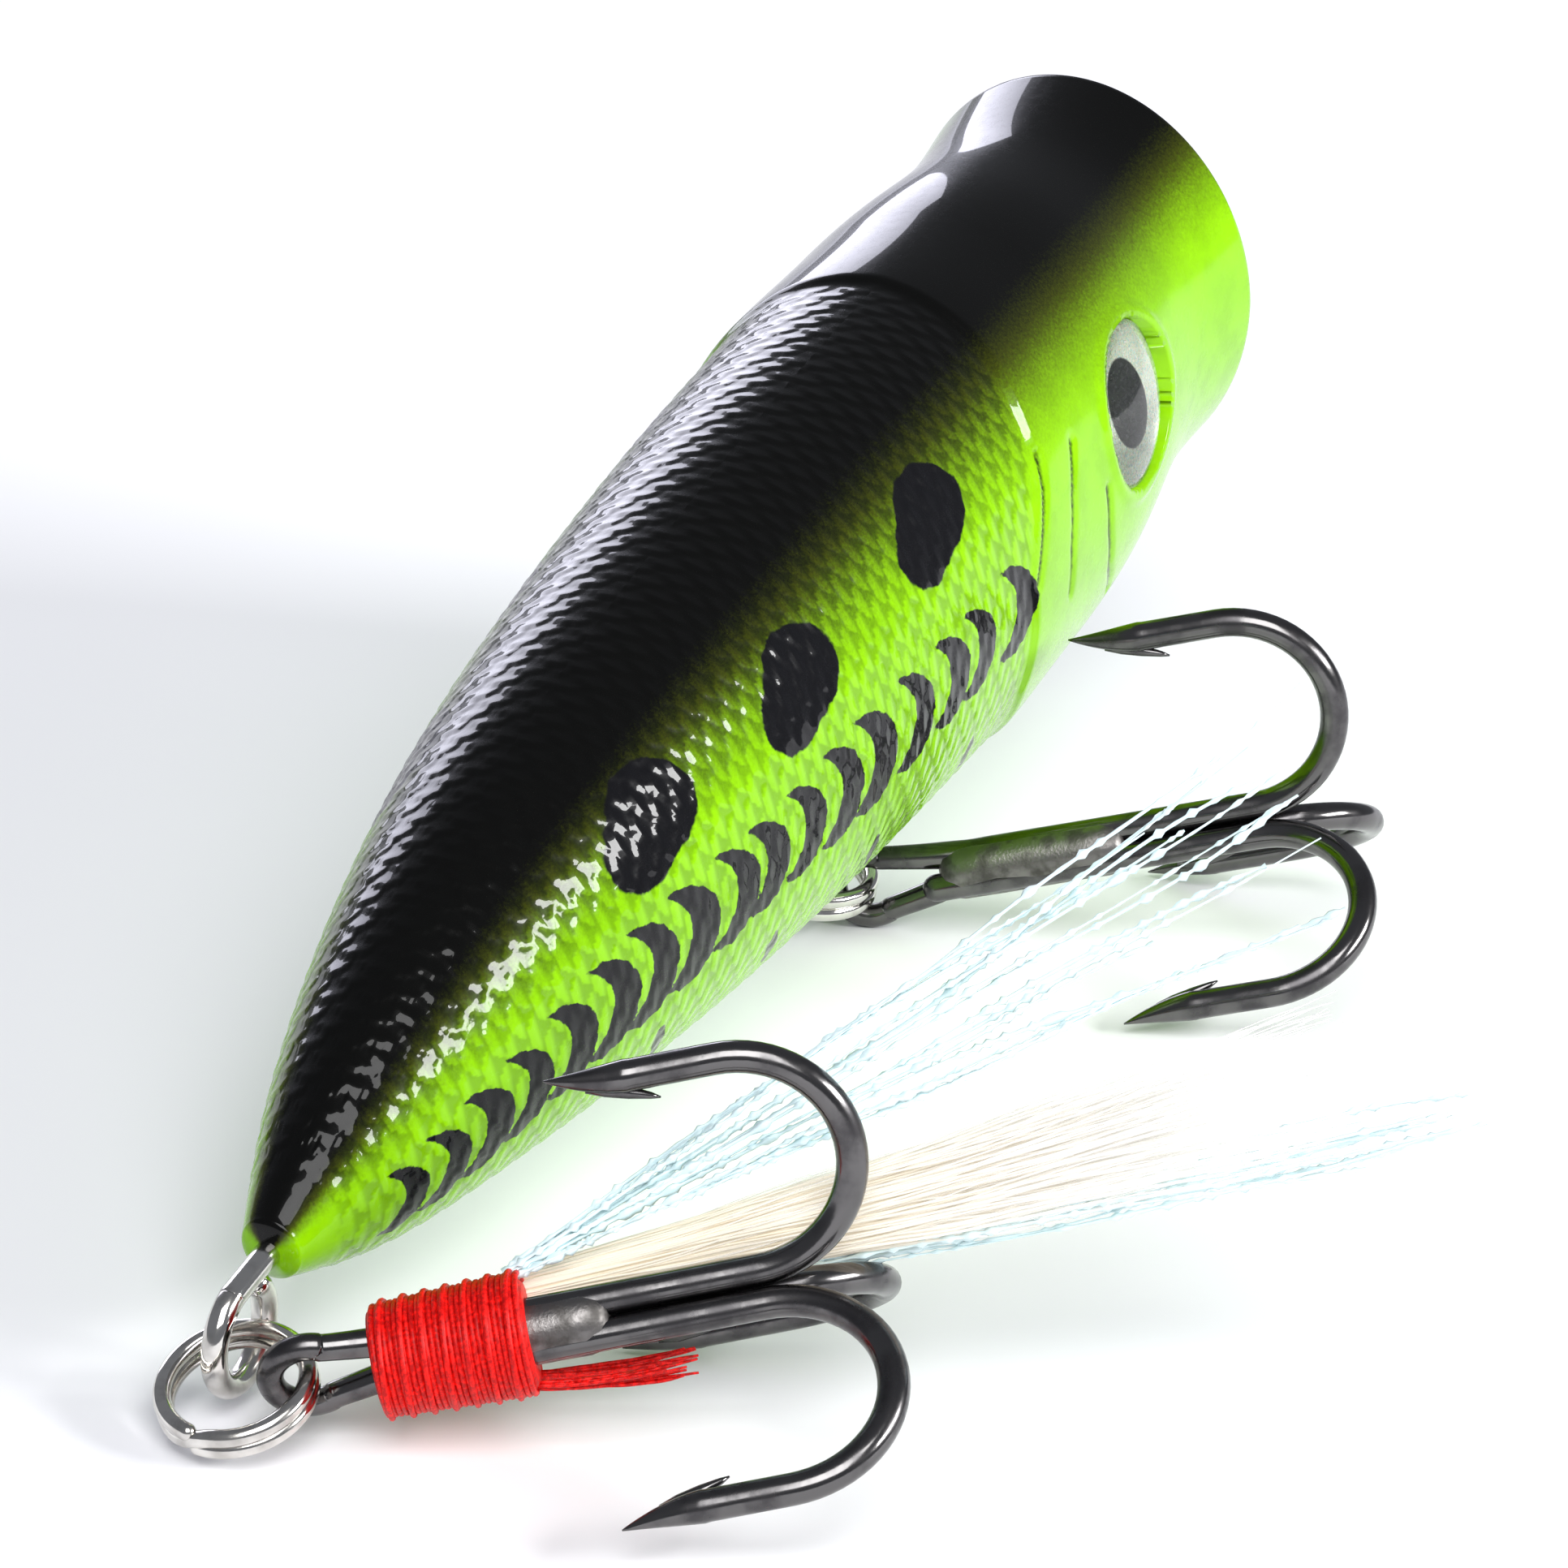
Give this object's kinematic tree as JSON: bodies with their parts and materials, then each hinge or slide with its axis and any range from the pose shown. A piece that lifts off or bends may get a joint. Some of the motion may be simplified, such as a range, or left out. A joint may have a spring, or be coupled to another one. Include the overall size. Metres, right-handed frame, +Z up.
{
  "type": "topwater popper",
  "caption": "Floating fishing lure with a cupped mouth, scaled painted body, glass-like eyes, treble hooks on split rings and a dressed tail.",
  "frame": {"origin": "centre of the line-tie eye's loop in the mouth cup", "axes": "+X toward the nose along the level of the floor, +Y to the lure's left, +Z up from the floor; the body itself is pitched nose-up as it lies on its hooks and rings"},
  "size_m": [0.0674, 0.0392, 0.0243],
  "materials": {
    "painted_body": "clear-coated airbrushed paint over moulded scales",
    "eye_lens": "clear polished",
    "eye_foil": "holographic foil with a printed pupil",
    "hanger_wire": "bright drawn wire",
    "spring_steel": "bright nickel plate",
    "hook_steel": "black nickel plate",
    "braze_metal": "dull plated braze",
    "ballast_steel": "plain",
    "winding_thread": "waxed thread",
    "dressing_hair": "soft fine hair",
    "flash_film": "iridescent film strands"
  },
  "bodies": {
    "lure_body": {"body_shell_right": "painted_body", "body_shell_left": "painted_body", "line_tie_eye": "hanger_wire", "belly_hanger_eye": "hanger_wire", "tail_hanger_eye": "hanger_wire", "right_eye_disc": "eye_foil", "left_eye_disc": "eye_foil", "right_eye_lens": "eye_lens", "left_eye_lens": "eye_lens", "tail_weight": "ballast_steel"},
    "rear_ball": {"rear_rattle_ball": "ballast_steel"},
    "front_ball": {"front_rattle_ball": "ballast_steel"},
    "belly_ring": {"belly_split_ring": "spring_steel"},
    "belly_hook": {"belly_double_hook": "hook_steel", "belly_single_hook": "hook_steel", "belly_hook_braze": "braze_metal"},
    "tail_ring": {"tail_split_ring": "spring_steel"},
    "tail_hook": {"tail_double_hook": "hook_steel", "tail_single_hook": "hook_steel", "tail_hook_braze": "braze_metal", "thread_wrap": "winding_thread", "thread_tags": "winding_thread", "tail_hair": "dressing_hair", "upper_flash": "flash_film", "lower_flash": "flash_film"}
  },
  "joints": [
    {"name": "belly_ring_swing", "type": "hinge", "parent": "lure_body", "child": "belly_ring", "pos_m": [-0.01743, 0, -0.01421], "axis": [-0.183, 0.9738, 0.1347], "range_deg": [-70, 0]},
    {"name": "belly_hook_swing", "type": "hinge", "parent": "belly_ring", "child": "belly_hook", "pos_m": [-0.01879, -0.00237, -0.01464], "axis": [0.936, 0.337, 0.1015], "range_deg": [-1, 60]},
    {"name": "tail_ring_swing", "type": "hinge", "parent": "lure_body", "child": "tail_ring", "pos_m": [-0.05943, 0, -0.01381], "axis": [-0.3624, 0.9046, -0.2246], "range_deg": [-35, 45]},
    {"name": "tail_hook_swing", "type": "hinge", "parent": "tail_ring", "child": "tail_hook", "pos_m": [-0.06033, -0.00277, -0.01396], "axis": [0.8178, 0.4906, 0.3008], "range_deg": [-20, 30]},
    {"name": "rear_ball_roll", "type": "slide", "parent": "lure_body", "child": "rear_ball", "axis": [0.9781, 0, 0.2079], "range_m": [0, 0.0058]},
    {"name": "front_ball_roll", "type": "slide", "parent": "lure_body", "child": "front_ball", "axis": [0.9781, 0, 0.2079], "range_m": [0, 0.0056]}
  ]
}
